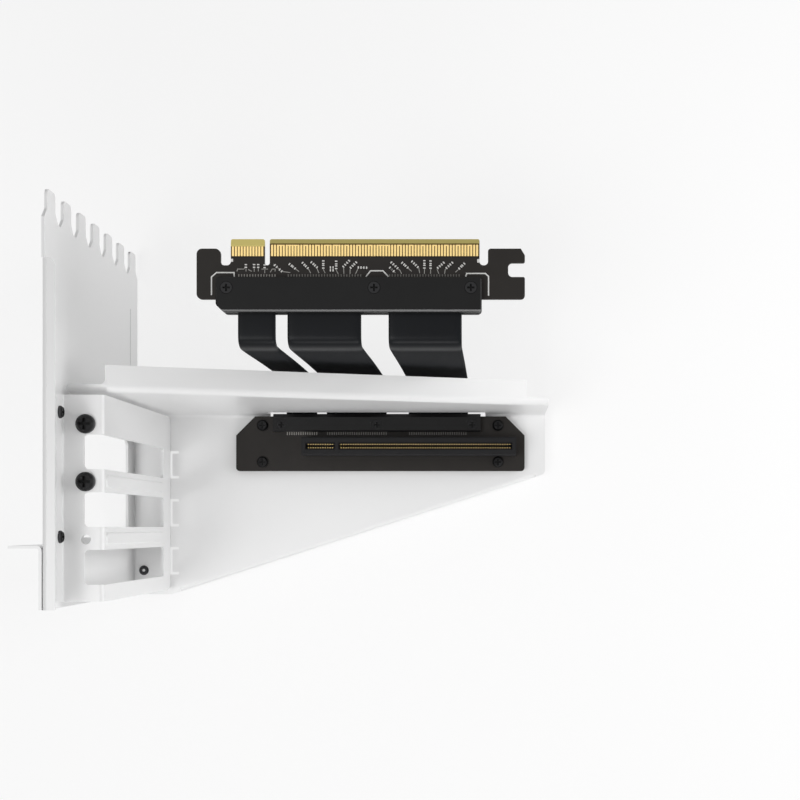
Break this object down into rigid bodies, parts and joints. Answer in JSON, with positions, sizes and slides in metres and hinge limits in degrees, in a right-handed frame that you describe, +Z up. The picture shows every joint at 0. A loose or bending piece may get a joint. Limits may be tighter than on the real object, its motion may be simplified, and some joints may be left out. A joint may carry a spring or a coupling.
{
  "type": "vertical expansion card mount",
  "caption": "Folded white steel mount that turns an expansion card upright, with a slot plate, card frame, tapered support tray and a black flat-ribbon riser from socket to edge plug.",
  "frame": {"origin": "middle of the row of case-screw holes, on the screw flange's seat", "axes": "+Z up the slot plate, +Y from the screw flange towards the main board, +X forward into the case"},
  "size_m": [0.1866, 0.1442, 0.1395],
  "materials": {
    "white_steel": "satin powder coat",
    "black_screw": "black oxide",
    "rivet": "satin",
    "board": "black solder mask",
    "gold": "gold flash",
    "cover": "fine moulded grain",
    "ribbon": "satin cable jacket",
    "socket": "moulded plastic",
    "standoff": "zinc"
  },
  "bodies": {
    "root": {"slot_plate": "white_steel", "screw_flange": "white_steel", "card_frame": "white_steel", "support_tray": "white_steel", "frame_screws": "black_screw", "card_screws": "black_screw", "tray_rivets": "rivet", "wall_rivets": "rivet", "plug_board": "board", "plug_contacts": "gold", "plug_cover_top": "cover", "plug_cover_bottom": "cover", "plug_cover_screws": "black_screw", "ribbon_left": "ribbon", "ribbon_middle": "ribbon", "ribbon_right": "ribbon", "socket_board": "board", "socket_housing": "socket", "socket_contacts": "gold", "socket_cover": "cover", "socket_cover_screws": "black_screw", "board_standoffs": "standoff", "board_screws": "black_screw"}
  },
  "joints": []
}
